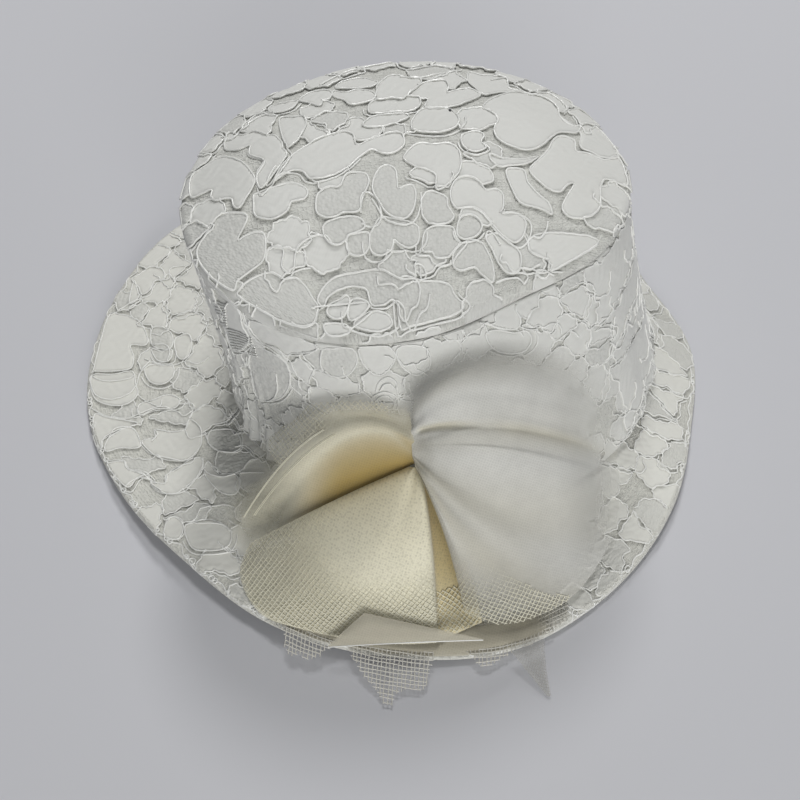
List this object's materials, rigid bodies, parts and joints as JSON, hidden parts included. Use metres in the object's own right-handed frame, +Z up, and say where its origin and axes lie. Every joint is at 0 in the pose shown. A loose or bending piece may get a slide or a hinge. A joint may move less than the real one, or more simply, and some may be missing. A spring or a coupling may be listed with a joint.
{
  "type": "christening hat",
  "caption": "Baby's christening hat with an oval lace-covered crown, a wide soft brim and a gathered bow of tulle and coarse net on one side.",
  "frame": {"origin": "middle of the hat's outline seen from above, on the surface that the brim rests on", "axes": "+Z up through the crown, -Y towards the side with the bow, -X towards the wide front of the brim"},
  "size_m": [0.2398, 0.2569, 0.1039],
  "materials": {
    "corded_lace": "off-white corded floral lace over stiff matt cloth",
    "white_tulle": "fine white tulle in several sheer layers",
    "cream_net": "stiff cream net, fine near the gather and coarse at the edge"
  },
  "bodies": {
    "root": {"crown_tip": "corded_lace", "crown_side": "corded_lace", "brim": "corded_lace", "net_left_wing": "cream_net", "net_front_panel": "cream_net", "net_flaps": "cream_net", "net_folded_corner": "cream_net", "net_right_wing": "white_tulle", "gathered_pinch": "cream_net"}
  },
  "joints": []
}
